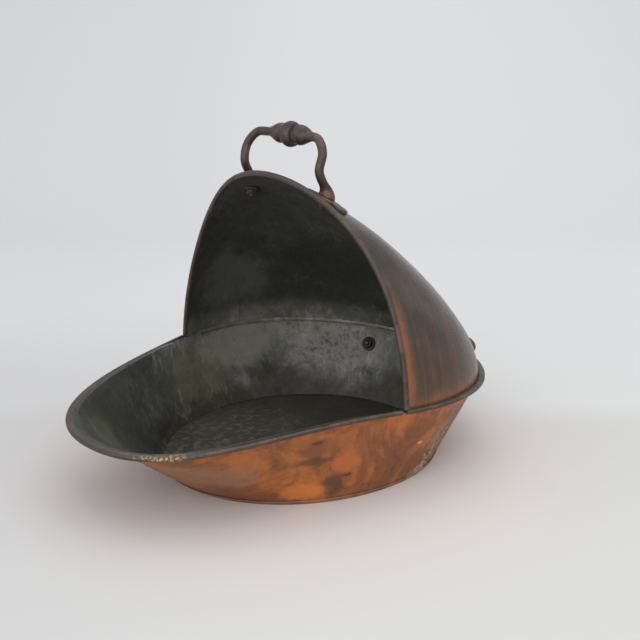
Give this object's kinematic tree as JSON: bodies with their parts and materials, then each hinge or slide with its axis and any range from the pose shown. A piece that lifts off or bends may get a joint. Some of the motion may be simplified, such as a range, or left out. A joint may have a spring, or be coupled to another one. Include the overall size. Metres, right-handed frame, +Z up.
{
  "type": "coal scuttle",
  "caption": "Helmet coal scuttle: boat-shaped copper body with an open pouring lip, a domed hood over the rear, a fixed loop handle on top and another at the back.",
  "frame": {"origin": "on the floor plane, under the middle of the overall length and on the middle plane", "axes": "+Z up; +Y towards the back, where the rear handle is; the pouring lip points to -Y; +X is the object's side at the right of someone who faces the lip"},
  "size_m": [0.3824, 0.5374, 0.3707],
  "materials": {
    "copper_body": "worn orange-brown copper, dull in patches",
    "copper_hood": "copper darkened to grey-brown, satin",
    "edge_wire": "dull dark wire",
    "solder": "dull grey solder",
    "handle_iron": "dark brown, worn smooth",
    "fixings": "dark, rusted"
  },
  "bodies": {
    "root": {"body_shell": "copper_body", "base_pan": "copper_body", "hood_shell": "copper_hood", "lip_wire": "edge_wire", "hood_wire": "edge_wire", "seam_solder": "solder", "top_handle": "handle_iron", "rear_handle": "handle_iron", "top_plate_left": "handle_iron", "top_plate_right": "handle_iron", "rear_plate_left": "handle_iron", "rear_plate_right": "handle_iron", "top_washer_left": "fixings", "top_washer_right": "fixings", "rear_washer_left": "fixings", "rear_washer_right": "fixings", "top_nut_left": "fixings", "top_nut_right": "fixings", "rear_nut_left": "fixings", "rear_nut_right": "fixings"}
  },
  "joints": []
}
